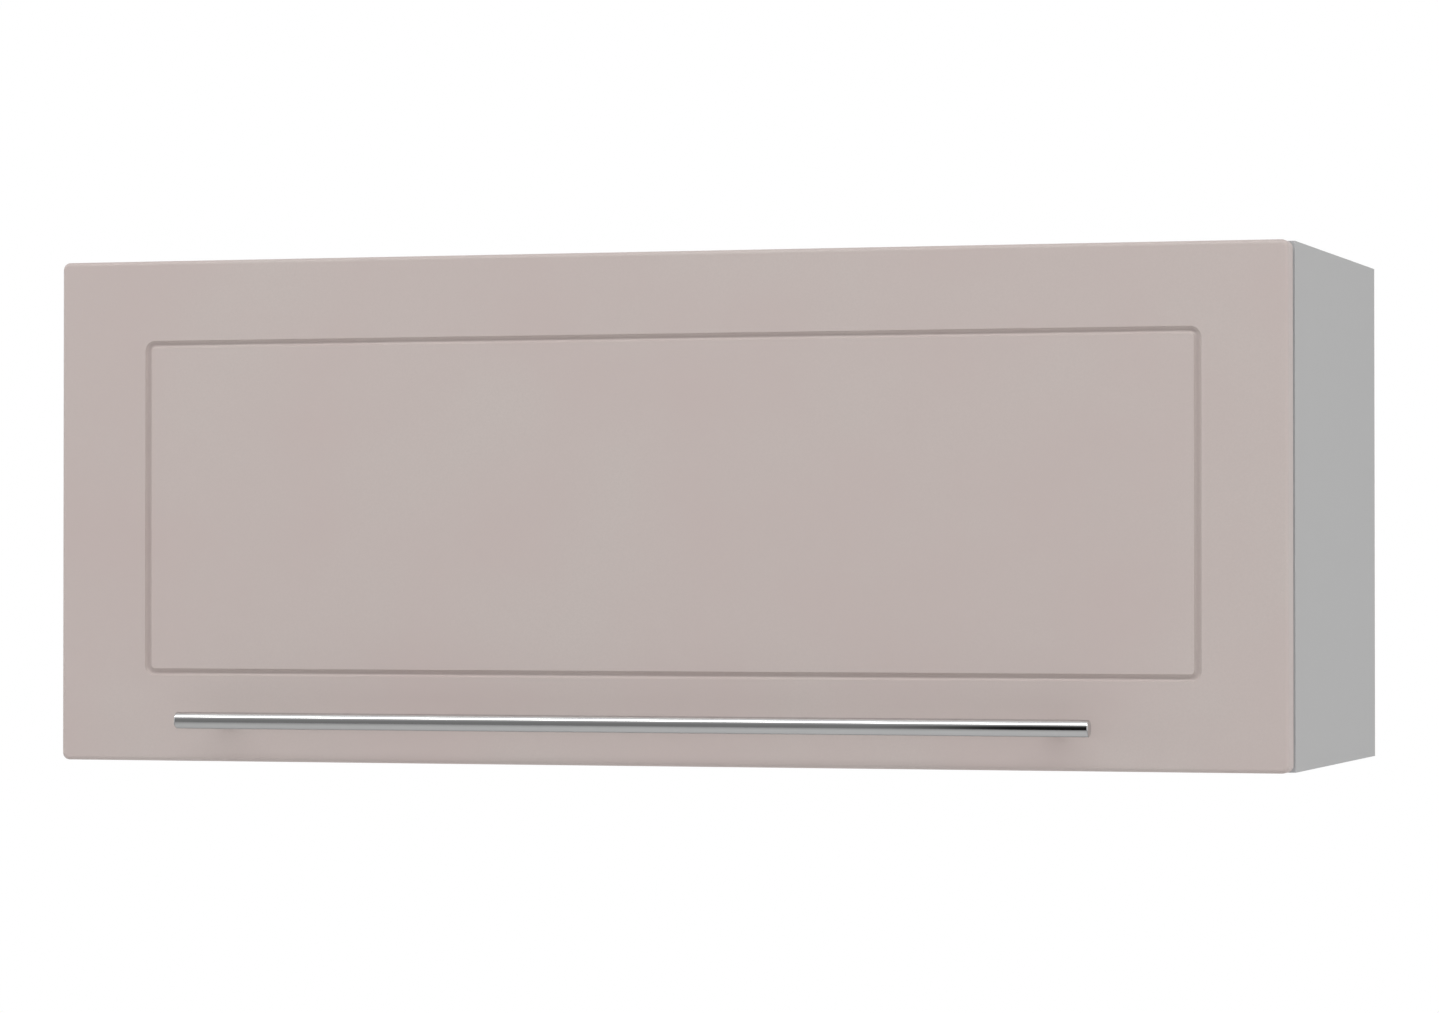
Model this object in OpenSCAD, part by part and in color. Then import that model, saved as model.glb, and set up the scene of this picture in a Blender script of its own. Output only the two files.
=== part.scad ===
// Lift up wall cabinet: a grey carcass with one wide top-hung flap in matt cashmere.
// Millimetres. +X runs to the viewer's right, the front faces -Y, +Z is up.
// The origin lies on the wall, at the centre of the four wall bolts of the hanging plates.

/* [Cabinet] */
// Overall width of the carcass
body_w = 900; // [600:10:1200]
// Overall height of the carcass
body_h = 360; // [340:5:480]
// Depth of the carcass from the wall to its front edges
body_d = 327; // [290:1:400]
// Thickness of the side, top and bottom boards
panel_t = 16; // [15:0.5:19]
// Thickness of the edge bands on the front edges
band_t = 0.8; // [0.4:0.1:2]
// Thickness of the back panel
back_t = 3; // [2.5:0.5:5]
// Distance from the wall to the back panel
back_inset = 18; // [16:1:28]
// Depth of the grooves that hold the back panel
back_groove = 6; // [4:0.5:8]

/* [Flap] */
// Thickness of the flap
flap_t = 18; // [17.5:0.5:22]
// Space between the carcass front and the back of the flap
flap_gap = 2.5; // [2.4:0.1:4]
// Distance of each flap side from the carcass side
side_reveal = 1; // [0.5:0.5:3]
// Distance of the flap's lower edge above the carcass underside
bottom_reveal = 0; // [0:0.5:6]
// Radius of the flap's four corners, seen from the front
corner_r = 5; // [4:0.5:10]
// Radius of the round along the front edges
front_round = 3; // [1:0.5:3.5]
// Radius of the round along the back of the hinge edge
hinge_edge_round = 1.5; // [1.5:0.1:3]
// Opening angle of the flap in degrees
open_angle = 95; // [60:1:95]

/* [Frame groove] */
// Distance from the flap's left edge to the groove's outer edge
groove_left = 65.3; // [40:0.1:100]
// Distance from the flap's right edge to the groove's outer edge
groove_right = 59.5; // [40:0.1:100]
// Distance from the flap's top edge to the groove's outer edge
groove_top = 57.7; // [45:0.1:90]
// Distance from the flap's lower edge to the groove's outer edge
groove_bottom = 61.4; // [50:0.1:90]
// Radius of the cutter that mills the groove
cutter_r = 2.5; // [2.4:0.1:4.5]
// Depth of the groove
groove_depth = 2.3; // [1:0.1:2.4]
// Radius of the groove's centre line at its corners
groove_corner = 5; // [5:0.5:30]

/* [Handle] */
// Length of the handle bar with its end caps
handle_l = 666; // [300:2:800]
// Diameter of the handle bar
handle_d = 12; // [8:0.5:14]
// Wall of the handle tube
handle_wall = 1.2; // [0.8:0.1:2]
// Centre of the bar to the right of the flap's centre line
handle_shift = -15; // [-20:1:20]
// Height of the bar's axis above the flap's lower edge
handle_up = 30; // [20:1:45]
// Space between the flap's face and the bar
handle_out = 20; // [15:0.5:35]
// Distance from each end of the bar to the middle of its post
post_inset = 29; // [15:1:60]
// Diameter of the posts
post_d = 7; // [6:0.5:8]
// Length of the end caps outside the tube
end_cap_l = 3.5; // [2:0.5:6]
// Radius of the round along the rim of the end caps
end_cap_round = 1.2; // [0.4:0.1:1.8]

/* [Hinges] */
// Distance from the carcass side to the middle of each hinge
hinge_inset = 110; // [90:1:200]
// Diameter of the hinge cup
cup_d = 35; // [34:0.5:36]
// Depth of the hinge cup
cup_depth = 13.2; // [13.2:0.1:14]
// Wall of the hinge cup
cup_wall = 0.8; // [0.6:0.1:1]
// Material left between the cup and the hinge edge
cup_edge = 3; // [2.5:0.1:3.2]
// Depth of the hinge pin behind the flap's back face
pin_depth = 9.5; // [9:0.1:9.6]
// Diameter of the hinge pin
hinge_pin_d = 2.5; // [2:0.1:3]
// Radius of the knuckle round the hinge pin
knuckle_r = 2.6; // [2.4:0.1:2.7]
// Width of the gooseneck
neck_w = 8; // [6:0.5:9]
// Thickness of the gooseneck
neck_t = 3.2; // [2.5:0.1:3.6]
// Distance of the gooseneck's middle below the top panel
neck_drop = 7.2; // [7:0.1:8]
// Distance of the mounting plate's screws behind the carcass front
plate_setback = 37; // [37:1:45]
// Distance between the mounting plate's screws
plate_pitch = 32; // [28:1:36]
// Length of the hinge arm behind the carcass front
arm_l = 70; // [66:1:80]

/* [Lift stays] */
// Distance of the lift arm's axis behind the carcass front
stay_setback = 28; // [26:1:40]
// Distance of the lift arm's axis below the cabinet top
stay_drop = 58; // [52:1:70]
// Distance of the bracket pin behind the flap's back face
bracket_out = 14.5; // [14:0.5:18]
// Distance of the bracket pin below the cabinet top
bracket_drop = 110; // [95:1:120]
// Length of the stay housing
stay_l = 150; // [120:1:180]
// Height of the stay housing
stay_h = 68; // [60:1:80]
// Thickness of the stay housing
stay_t = 20; // [16:0.5:24]
// Thickness of the stay cover
cover_t = 2.5; // [1.5:0.1:4]
// Thickness of the lift arm
lift_arm_t = 4; // [3:0.5:5]
// Thickness of the link lever
link_t = 3; // [2:0.5:4]
// Diameter of the lift arm's shaft
shaft_d = 10; // [8:0.5:12]
// Diameter of the link pins
link_pin_d = 7; // [5:0.5:8]

/* [Wall hanging] */
// Height of the cabinet top above the middle of the wall bolts
hang_drop = 50; // [48:1:60]
// Distance between the wall bolts of one plate
bolt_pitch = 24; // [20:1:26]
// Diameter of the wall bolt holes
bolt_hole_d = 6.5; // [5:0.5:7]
// Width of the wall plate
wall_plate_w = 42; // [36:1:60]
// Thickness of the wall plate
wall_plate_t = 2; // [1.5:0.1:2.5]
// Width of the hanger hook
hook_w = 14; // [10:0.5:15]
// Thickness of the hanger hook
hook_t = 2.5; // [2:0.1:3]

/* [Fittings] */
// Diameter of the wood dowels
dowel_d = 8; // [6:0.5:8]
// Length of the wood dowels
dowel_l = 30; // [24:1:32]
// Diameter of the cam housings
cam_d = 15; // [12:0.5:16]
// Height of the cam housings
cam_h = 12.5; // [11:0.1:13]
// Distance from the board's end to the middle of each cam
cam_inset = 24; // [22:0.5:26]
// Diameter of the bumper pads
bumper_d = 9; // [6:0.5:12]

/* [Screws] */
// Height of the screws' heads
head_h = 2; // [1.6:0.1:2.4]
// Diameter of the hinge plate screws
plate_screw_d = 3.8; // [3:0.1:4.2]
// Length of the hinge plate screws in the top panel
plate_screw_l = 11; // [8:0.5:12]
// Diameter of the cup screws
cup_screw_d = 3.6; // [3:0.1:4]
// Length of the cup screws in the flap
cup_screw_l = 11; // [8:0.5:13]
// Distance of the cup screws to each side of the cup's middle
cup_screw_x = 22.5; // [22:0.5:24]
// Distance of the cup screws below the cup's middle
cup_screw_drop = 9.5; // [8:0.5:9.5]
// Diameter of the hinge arm screws
arm_screw_d = 4.6; // [4:0.1:5]
// Diameter of the bracket screws
bracket_screw_d = 4; // [3.5:0.1:4.5]
// Length of the bracket screws in the flap
bracket_screw_l = 12; // [8:0.5:13]
// Diameter of the stay screws
stay_screw_d = 4; // [3.5:0.1:4.2]
// Length of the stay screws in the side panel
stay_screw_l = 11; // [8:0.5:12]
// Diameter of the tension screws
tension_d = 7; // [5:0.5:8]
// Length of the tension screws
tension_l = 12; // [8:0.5:14]
// Diameter of the hanger screws
hanger_screw_d = 4.6; // [4:0.1:5]
// Diameter of the handle screws
handle_screw_d = 4; // [3:0.1:4]

/* [Hidden] */
$fn = 48;
fixed_play = 0.05; // radial clearance of what is pushed or screwed in for good
running_play = 0.06; // radial clearance of what turns
seat = 0.3; // clearance of what lies beside something else
half_w = body_w / 2;
inner_x = half_w - panel_t;
top_z = hang_drop;
bottom_z = top_z - body_h;
flap_half_w = half_w - side_reveal;
flap_bottom = bottom_z + bottom_reveal;
flap_h = top_z - flap_bottom;
flap_back_y = -body_d - flap_gap;
flap_front_y = flap_back_y - flap_t;
hinge_x = half_w - hinge_inset;
cup_r = cup_d / 2;
cup_mid = cup_edge + cup_r;
flange_t = 1;
cup_ear_in = neck_w / 2 + 0.35; // the ears that carry the hinge pin
cup_ear_out = 9.6;
pin_half = cup_ear_out - 0.6;
pin_room = 0.5; // space between the knuckle and the cup's wall
pin_drop = cup_mid - sqrt(pow(cup_r - cup_wall, 2) - pow(neck_w / 2, 2)) + knuckle_r + pin_room;
// Points of the side view are [distance in front of the carcass, distance above the cabinet top].
hinge_axis = [flap_gap + pin_depth, -pin_drop];
stay_axis = [-stay_setback, -stay_drop];
bracket_axis = [flap_gap - bracket_out, -bracket_drop];
link_axis = stay_axis + bracket_axis - hinge_axis;
// Stack of the lift stay from the side panel inwards
stay_x = inner_x - stay_t;
cover_x = stay_x - cover_t;
lift_arm_x = cover_x - 1 - lift_arm_t;
link_x = lift_arm_x - 0.5 - link_t;
ear_t = 3;
ear_x = link_x - 0.5 - ear_t;
stay_front = stay_axis[0] + 15;
stay_top = stay_axis[1] + 21;
stay_corner = 8;
stay_floor = 4; // material under the heads of the stay screws
stay_screws = [for (u = [16, stay_l - 16], v = [12, stay_h - 12]) [stay_front - u, stay_top - v]];
arm_end_r = 11;
link_end_r = 7.5;
bracket_w = 32;
bracket_h = 44;
bracket_plate_t = 2;
bracket_screws = [for (v = [-15, 15]) [ear_x + ear_t + 12, bracket_axis[1] + v]];
neck_v = -panel_t - neck_drop;
neck_low = neck_v - neck_t / 2;
arm_w = 15;
arm_sheet = 1.6;
arm_leg_h = 6;
wing_t = 2.5;
rib_half = arm_w / 2 - arm_sheet - 0.1;
front_screw_u = -26;
rear_screw_u = -54;
joint_zs = [bottom_z + panel_t / 2, top_z - panel_t / 2];
cam_front = 45; // from the carcass front to the first cams
cam_rear = 62; // from the wall to the rear cams
dowel_pitch = 32; // from each cam to its dowel
cam_ys = [-body_d + cam_front, -cam_rear];
dowel_ys = [-body_d + cam_front + dowel_pitch, -cam_rear - dowel_pitch];
dowel_in_side = 11;
cam_bolt_head_r = 3.5;
hook_x = inner_x - 10;
hanger_w = 20;
hanger_d = 50;
hanger_h = 48;
hanger_y = -(back_inset + back_t + 0.5);
hanger_top = top_z - panel_t;
hanger_peg_r = 5;
hanger_pegs = [for (k = [0, 1]) [hanger_y - 9 - 32 * k, hanger_top - 24]];
hanger_screw_zs = [hanger_top - 13, hanger_top - 30];
hanger_head_r = hanger_screw_d / 2 + 0.8;
tension_z = top_z + stay_top - stay_h / 2;
hook_z = hanger_top - 4.2;
wall_plate_x = hook_x + hook_w / 2 + 1 - wall_plate_w / 2;
wall_plate_out = 5;
wall_plate_low = -bolt_pitch / 2 - 12;
wall_plate_step = bolt_pitch / 2 + 6;
wall_plate_top = hook_z - seat;
handle_y = flap_front_y - handle_out - handle_d / 2;
handle_z = flap_bottom + handle_up;
handle_x = [handle_shift - handle_l / 2, handle_shift + handle_l / 2];
post_xs = [handle_x[0] + post_inset, handle_x[1] - post_inset];
handle_screw_in = 9;
post_neck_r = post_d / 2 - 0.5; // the part of the post that sits in the bar
bumper_t = flap_gap - seat;
bumper_up = 14;

// ---- shared shapes ----

// A block between two opposite corners
module block(low, high) {
    translate(low) cube(high - low);
}

// Extrudes a side view drawn as [forward, up] from x0 to x1
module side_view(x0, x1) {
    translate([x1, -body_d, top_z]) rotate([90, 0, -90]) linear_extrude(x1 - x0) children();
}

// A round bar along X through a point of the side view
module bar_x(x0, x1, at, r) {
    side_view(x0, x1) translate(at) circle(r);
}

// A round bar along Y from y0 to y1
module bar_y(x, z, y0, y1, r) {
    translate([x, y0, z]) rotate([-90, 0, 0]) cylinder(h = y1 - y0, r = r);
}

// A polygon with its edges moved out by r and its corners round
module rounded(points, r) {
    count = len(points);
    polygon(points);
    for (i = [0 : count - 1]) {
        a = points[i];
        b = points[(i + 1) % count];
        side = (b - a) / norm(b - a);
        // a slanting edge ends just inside its round corners
        sunk = abs(side[0] * side[1]) > 0 ? 0.01 : 0;
        out = [side[1], -side[0]] * (r - sunk);
        translate(a) circle(r);
        polygon([a + out, a - out / 2, b - out / 2, b + out]);
    }
}

// A rectangle with round corners, its low corner at the origin
module round_rect(w, h, r) {
    rounded([[r, r], [w - r, r], [w - r, h - r], [r, h - r]], r);
}

// A flat bar with round ends of radius ra at a and rb at b
module lever(a, b, ra, rb) {
    sunk = 0.01; // keeps the straight sides' corners inside the round ends
    run = norm(b - a);
    turn = atan2(b[1] - a[1], b[0] - a[0]);
    tilt = acos((ra - rb) / run);
    translate(a) rotate(turn) {
        circle(ra);
        translate([run, 0]) circle(rb);
        polygon([
            (ra - sunk) * [cos(tilt), sin(tilt)], (ra - sunk) * [cos(tilt), -sin(tilt)],
            [run, 0] + (rb - sunk) * [cos(tilt), -sin(tilt)], [run, 0] + (rb - sunk) * [cos(tilt), sin(tilt)]
        ]);
    }
}

// A pair of the same piece, mirrored about the middle of the cabinet
module pair() {
    children();
    mirror([1, 0, 0]) children();
}

// A cross slot for a screw head, cut along +Z from z = 0
module cross_slot(r, deep) {
    translate([-r, -r / 5, 0]) cube([2 * r, r / 2.5, deep]);
    translate([-r / 5, -r, 0]) cube([r / 2.5, 2 * r, deep]);
}

// A screw along -Z: its head from z = 0 up, its shank below
module pan_screw(head_r, head_h, shank_r, shank_l) {
    difference() {
        union() {
            cylinder(h = head_h, r = head_r);
            translate([0, 0, -shank_l]) cylinder(h = shank_l + head_h / 2, r = shank_r);
        }
        translate([0, 0, head_h * 0.45]) cross_slot(head_r * 0.62, head_h);
    }
}

// ---- carcass boards ----

// Bores in the right side panel, all from its inner face
module side_panel_bores() {
    for (z = joint_zs) {
        for (y = dowel_ys) translate([inner_x - 1, y, z]) rotate([0, 90, 0])
            cylinder(h = dowel_in_side + 1.5, r = dowel_d / 2 + fixed_play);
        for (y = cam_ys) translate([inner_x - 1, y, z]) rotate([0, 90, 0])
            cylinder(h = 12.5, r = 2.5 + fixed_play);
    }
    for (at = stay_screws)
        bar_x(inner_x - 1, inner_x + stay_screw_l + 0.5, at, stay_screw_d / 2 + fixed_play);
    for (at = hanger_pegs) translate([inner_x - 1, at[0], at[1]]) rotate([0, 90, 0])
        cylinder(h = 12.5, r = hanger_peg_r + fixed_play);
}

module side_panel() {
    slot_low = bottom_z + panel_t - back_groove;
    slot_high = top_z - panel_t + back_groove;
    difference() {
        block([inner_x, -body_d + band_t, bottom_z], [half_w, 0, top_z]);
        block([inner_x - 1, -back_inset - back_t - 0.1, slot_low],
              [inner_x + back_groove, -back_inset + 0.1, slot_high]);
        side_panel_bores();
    }
}

// One lying board with its bores for dowels, cams and cam bolts; low is its underside
module lying_board(low) {
    mid = low + panel_t / 2;
    difference() {
        block([-inner_x, -body_d + band_t, low], [inner_x, 0, low + panel_t]);
        pair() {
            for (y = dowel_ys) translate([inner_x - (dowel_l - dowel_in_side) - 0.5, y, mid])
                rotate([0, 90, 0]) cylinder(h = dowel_l, r = dowel_d / 2 + fixed_play);
            for (y = cam_ys) {
                translate([inner_x - cam_inset, y, mid]) rotate([0, 90, 0])
                    cylinder(h = cam_inset + 1, r = 4);
                translate([inner_x - cam_inset, y, low + panel_t - cam_h - 0.3])
                    cylinder(h = cam_h + 1.3, r = cam_d / 2 + fixed_play);
            }
        }
        children();
    }
}

module top_panel() {
    color("lightgray") lying_board(top_z - panel_t) {
        block([-inner_x - 1, -back_inset - back_t - 0.1, top_z - panel_t - 1],
              [inner_x + 1, -back_inset + 0.1, top_z - panel_t + back_groove]);
        for (side = [-1, 1], step = [-0.5, 0.5])
            translate([side * hinge_x + step * plate_pitch, -body_d + plate_setback, top_z - panel_t - 1])
                cylinder(h = plate_screw_l + 1.5, r = plate_screw_d / 2 + fixed_play);
    }
}

module bottom_panel() {
    color("lightgray") lying_board(bottom_z)
        block([-inner_x - 1, -back_inset - back_t - 0.1, bottom_z + panel_t - back_groove],
              [inner_x + 1, -back_inset + 0.1, bottom_z + panel_t + 1]);
}

module back_panel() {
    edge_x = inner_x + back_groove - 0.5;
    hole_x = hook_w / 2 + 1.5;
    color("gainsboro") difference() {
        block([-edge_x, -back_inset - back_t, bottom_z + panel_t - back_groove + 0.5],
              [edge_x, -back_inset, top_z - panel_t + back_groove - 0.5]);
        pair() block([hook_x - hole_x, -back_inset - back_t - 1, hook_z - 3],
                     [hook_x + hole_x, -back_inset + 1, hook_z + hook_t + 1.2]);
    }
}

module front_edge_bands() {
    front = [-body_d, -body_d + band_t];
    color("lightgray") {
        pair() block([inner_x, front[0], bottom_z], [half_w, front[1], top_z]);
        for (z = [bottom_z, top_z - panel_t])
            block([-inner_x + 0.1, front[0], z], [inner_x - 0.1, front[1], z + panel_t]);
    }
}

// ---- carcass fittings ----

module dowels() {
    color("burlywood") pair() for (z = joint_zs, y = dowel_ys)
        translate([inner_x - (dowel_l - dowel_in_side), y, z]) rotate([0, 90, 0])
            cylinder(h = dowel_l, r = dowel_d / 2);
}

module cam_housings() {
    color("silver") pair() for (z = joint_zs, y = cam_ys) translate([inner_x - cam_inset, y, z])
        difference() {
            translate([0, 0, panel_t / 2 - cam_h]) cylinder(h = cam_h, r = cam_d / 2);
            // the curved channel that grips the bolt's head
            rotate_extrude() translate([cam_d / 2 - 4.5, 0]) circle(2.6);
            translate([0, 0, 0]) rotate([0, 90, 0]) cylinder(h = cam_d, r = cam_bolt_head_r + 0.4);
            translate([0, 0, panel_t / 2 - 2]) cross_slot(4.2, 3);
        }
}

module cam_bolts() {
    head_x = inner_x - cam_inset + 1;
    color("silver") pair() for (z = joint_zs, y = cam_ys) translate([head_x, y, z]) rotate([0, 90, 0])
        rotate_extrude() polygon([
            [0, 0], [cam_bolt_head_r, 0.6], [cam_bolt_head_r, 2.6], [1.8, 3.4], [1.8, 6.6],
            [3, 7.4], [3, cam_inset - 1], [2.5, cam_inset - 1],
            [2.5, cam_inset + 9], [1.2, cam_inset + 10], [0, cam_inset + 10]
        ]);
}

module cam_caps() {
    color("lightgray") pair() for (y = cam_ys)
        translate([inner_x - cam_inset, y, bottom_z + panel_t]) difference() {
            cylinder(h = 1.2, r1 = cam_d / 2 + 1.5, r2 = cam_d / 2 + 0.7);
            translate([0, 0, -0.1]) cylinder(h = 0.5, r = cam_d / 2 - 2);
        }
}

// ---- wall hanging ----

// Side view of the hanger housing, [forward of the back panel, up], moved out by grow
module hanger_outline(grow) {
    far = hanger_d - 3;
    high = hanger_h - 3;
    rounded([[3, 3], [far - 11, 3], [far, 14], [far, high], [3, high]], 3 + grow);
}

module hanger_housing() {
    front_y = hanger_y - hanger_d;
    low = hanger_top - hanger_h;
    color("whitesmoke") difference() {
        union() {
            translate([inner_x, hanger_y, low]) rotate([90, 0, -90])
                linear_extrude(hanger_w) hanger_outline(0);
            for (at = hanger_pegs) translate([inner_x - 2, at[0], at[1]]) rotate([0, 90, 0])
                cylinder(h = 13, r = hanger_peg_r);
        }
        // channel of the hook strap
        block([hook_x - hook_w / 2 - 0.3, front_y + 6, hook_z - 3],
              [hook_x + hook_w / 2 + 0.3, hanger_y + 1, hook_z + hook_t + 0.3]);
        block([hook_x - hook_w / 2 - 0.3, front_y + 6, hanger_screw_zs[1] - 5],
              [hook_x + hook_w / 2 + 0.3, front_y + 12, hook_z]);
        for (z = hanger_screw_zs) bar_y(hook_x, z, front_y - 1, front_y + 7, hanger_head_r + 0.1);
    }
}

module hanger_hook() {
    front_y = hanger_y - hanger_d;
    x0 = hook_x - hook_w / 2;
    x1 = hook_x + hook_w / 2;
    finger_y = -wall_plate_out + 0.4;
    color("silver") difference() {
        union() {
            block([x0, front_y + 7, hook_z], [x1, finger_y + hook_t, hook_z + hook_t]);
            block([x0, finger_y, hook_z - 9], [x1, finger_y + hook_t, hook_z + hook_t]);
            block([x0, front_y + 7, hanger_screw_zs[1] - 4.5], [x1, front_y + 7 + hook_t, hook_z + hook_t]);
        }
        for (z = hanger_screw_zs)
            bar_y(hook_x, z, front_y + 5, front_y + 12, hanger_screw_d / 2 + fixed_play);
    }
}

module hanger_screws() {
    front_y = hanger_y - hanger_d;
    color("silver") pair() for (z = hanger_screw_zs) translate([hook_x, front_y + 4, z])
        rotate([90, 0, 0]) difference() {
            union() {
                translate([0, 0, -7.5]) cylinder(h = 8, r = hanger_screw_d / 2);
                cylinder(h = 3, r = hanger_head_r);
            }
            translate([0, 0, 1.6]) cross_slot(hanger_head_r * 0.7, 3);
        }
}

module hanger_cover() {
    wall = 1.2;
    gap = 0.2;
    reach = hanger_w + gap;
    color("whitesmoke") translate([inner_x, hanger_y, hanger_top - hanger_h]) rotate([90, 0, -90])
        difference() {
            union() {
                linear_extrude(reach + wall / 2) hanger_outline(gap + wall);
                linear_extrude(reach + wall) hanger_outline(gap + wall / 2);
            }
            translate([0, 0, -1]) linear_extrude(reach + 1) hanger_outline(gap);
            // open towards the back panel and cut off below the top panel
            translate([-20, -20, -1]) cube([20, hanger_h + 40, reach + 10]);
            translate([-20, hanger_h, -1]) cube([hanger_d + 40, 20, reach + 10]);
            translate([-20, -20, -1]) cube([hanger_d - 8, hanger_h + 40, reach + 1]);
        }
}

module wall_plate() {
    x0 = wall_plate_x - wall_plate_w / 2;
    x1 = wall_plate_x + wall_plate_w / 2;
    out = wall_plate_out + wall_plate_t;
    color("silver") difference() {
        union() {
            block([x0, -wall_plate_t, wall_plate_low], [x1, 0, wall_plate_step + wall_plate_t]);
            block([x0, -out, wall_plate_step], [x1, 0, wall_plate_step + wall_plate_t]);
            block([x0, -out, wall_plate_step], [x1, -out + wall_plate_t, wall_plate_top]);
        }
        for (z = [-bolt_pitch / 2, bolt_pitch / 2])
            bar_y(wall_plate_x, z, -wall_plate_t - 1, 1, bolt_hole_d / 2);
    }
}

// ---- flap hinges ----

module hinge_plate() {
    color("silver") translate([hinge_x, 0, 0]) difference() {
        union() {
            side_view(-rib_half, rib_half)
                translate([-64, neck_low + arm_sheet]) square([44, -panel_t - neck_low - arm_sheet]);
            translate([-plate_pitch / 2 - 8, -body_d + plate_setback - 9, top_z - panel_t - wing_t])
                linear_extrude(wing_t) round_rect(plate_pitch + 16, 18, 6);
        }
        for (step = [-0.5, 0.5])
            translate([step * plate_pitch, -body_d + plate_setback, top_z - panel_t - wing_t - 1])
                cylinder(h = wing_t + 2, r = plate_screw_d / 2 + 0.3);
        for (u = [front_screw_u, rear_screw_u])
            translate([0, -body_d - u, top_z + neck_low]) cylinder(h = 7, r = arm_screw_d / 2 + fixed_play);
    }
}

module hinge_plate_screws() {
    color("silver") pair() for (step = [-0.5, 0.5])
        translate([hinge_x + step * plate_pitch, -body_d + plate_setback, top_z - panel_t - wing_t])
            rotate([180, 0, 0])
                pan_screw(plate_screw_d / 2 + 1.8, head_h, plate_screw_d / 2, wing_t + plate_screw_l);
}

// Side view of the gooseneck from the knuckle down and back under the top panel
module neck_outline() {
    bend = 6;
    mid_u = hinge_axis[0] + 0.2;
    translate(hinge_axis) circle(knuckle_r);
    translate([mid_u - neck_t / 2, neck_v + bend]) square([neck_t, hinge_axis[1] - neck_v - bend]);
    translate([mid_u - bend, neck_v + bend]) intersection() {
        difference() {
            circle(bend + neck_t / 2);
            circle(bend - neck_t / 2);
        }
        translate([0, -20]) square([20, 20]);
    }
    translate([-16, neck_low]) square([16 + mid_u - bend, neck_t]);
}

module hinge_arm() {
    color("silver") translate([hinge_x, 0, 0]) difference() {
        union() {
            side_view(-neck_w / 2, neck_w / 2) neck_outline();
            // web of the channel, widening behind the gooseneck
            translate([0, -body_d, top_z + neck_low]) linear_extrude(arm_sheet) polygon([
                [-neck_w / 2, 3], [neck_w / 2, 3], [arm_w / 2, 15], [arm_w / 2, arm_l],
                [-arm_w / 2, arm_l], [-arm_w / 2, 15]
            ]);
            for (x = [-arm_w / 2, arm_w / 2 - arm_sheet])
                side_view(x, x + arm_sheet) polygon([
                    [-15, neck_low], [-22, neck_low + arm_leg_h], [-arm_l + 4, neck_low + arm_leg_h],
                    [-arm_l, neck_low + 2], [-arm_l, neck_low]
                ]);
        }
        bar_x(-neck_w, neck_w, hinge_axis, hinge_pin_d / 2 + running_play);
        for (u = [front_screw_u, rear_screw_u])
            translate([0, -body_d - u, top_z + neck_low - 1])
                cylinder(h = arm_sheet + 2, r = arm_screw_d / 2 + 0.1);
    }
}

module hinge_arm_screws() {
    color("silver") pair() for (u = [front_screw_u, rear_screw_u])
        translate([hinge_x, -body_d - u, top_z + neck_low]) rotate([180, 0, 0])
            pan_screw(arm_screw_d / 2 + (u == rear_screw_u ? 2.1 : 1.5), head_h, arm_screw_d / 2, 6);
}

// A plan of the cup's flange, seen from behind, centred on the cup
module flange_outline() {
    circle(cup_r);
    x = cup_screw_x;
    translate([0, -cup_screw_drop]) rounded([[-x, -1], [x, -1], [x, 1], [-x, 1]], 5.5);
}

module hinge_cup() {
    cup_z = top_z - cup_mid;
    ear_low = pin_drop + 3.4;
    color("silver") difference() {
        union() {
            difference() {
                union() {
                    bar_y(hinge_x, cup_z, flap_back_y - cup_depth, flap_back_y + flange_t, cup_r);
                    translate([hinge_x, flap_back_y + flange_t, cup_z]) rotate([90, 0, 0])
                        linear_extrude(flange_t) flange_outline();
                }
                bar_y(hinge_x, cup_z, flap_back_y - cup_depth + cup_wall, flap_back_y + 2, cup_r - cup_wall);
            }
            // two ears that carry the hinge pin
            intersection() {
                bar_y(hinge_x, cup_z, flap_back_y - cup_depth, flap_back_y, cup_r - cup_wall / 2);
                for (x = [-cup_ear_out, cup_ear_in])
                    side_view(hinge_x + x, hinge_x + x + cup_ear_out - cup_ear_in)
                        translate([hinge_axis[0] - 3.8, -ear_low])
                            square([flap_gap + cup_depth - hinge_axis[0] + 3.6, ear_low]);
            }
        }
        bar_x(hinge_x - pin_half - 0.2, hinge_x + pin_half + 0.2, hinge_axis, hinge_pin_d / 2 + fixed_play);
        for (x = [-cup_screw_x, cup_screw_x])
            bar_y(hinge_x + x, cup_z - cup_screw_drop, flap_back_y - 1, flap_back_y + 2,
                  cup_screw_d / 2 + 0.3);
    }
}

module hinge_pins() {
    color("silver") pair() bar_x(hinge_x - pin_half, hinge_x + pin_half, hinge_axis, hinge_pin_d / 2);
}

module hinge_cup_screws() {
    color("silver") pair() for (x = [-cup_screw_x, cup_screw_x])
        translate([hinge_x + x, flap_back_y + flange_t, top_z - cup_mid - cup_screw_drop]) rotate([-90, 0, 0])
            pan_screw(cup_screw_d / 2 + 1.5, 0.9, cup_screw_d / 2, cup_screw_l + flange_t);
}

// ---- lift stays ----

module stay_outline(inset) {
    r = stay_corner - inset;
    front = stay_front - stay_corner;
    rear = stay_front - stay_l + stay_corner;
    high = stay_top - stay_corner;
    low = stay_top - stay_h + stay_corner;
    rounded([[rear, low + 12], [rear + 18, low], [front - 26, low], [front, low + 20],
             [front, high], [rear, high]], r);
}

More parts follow.
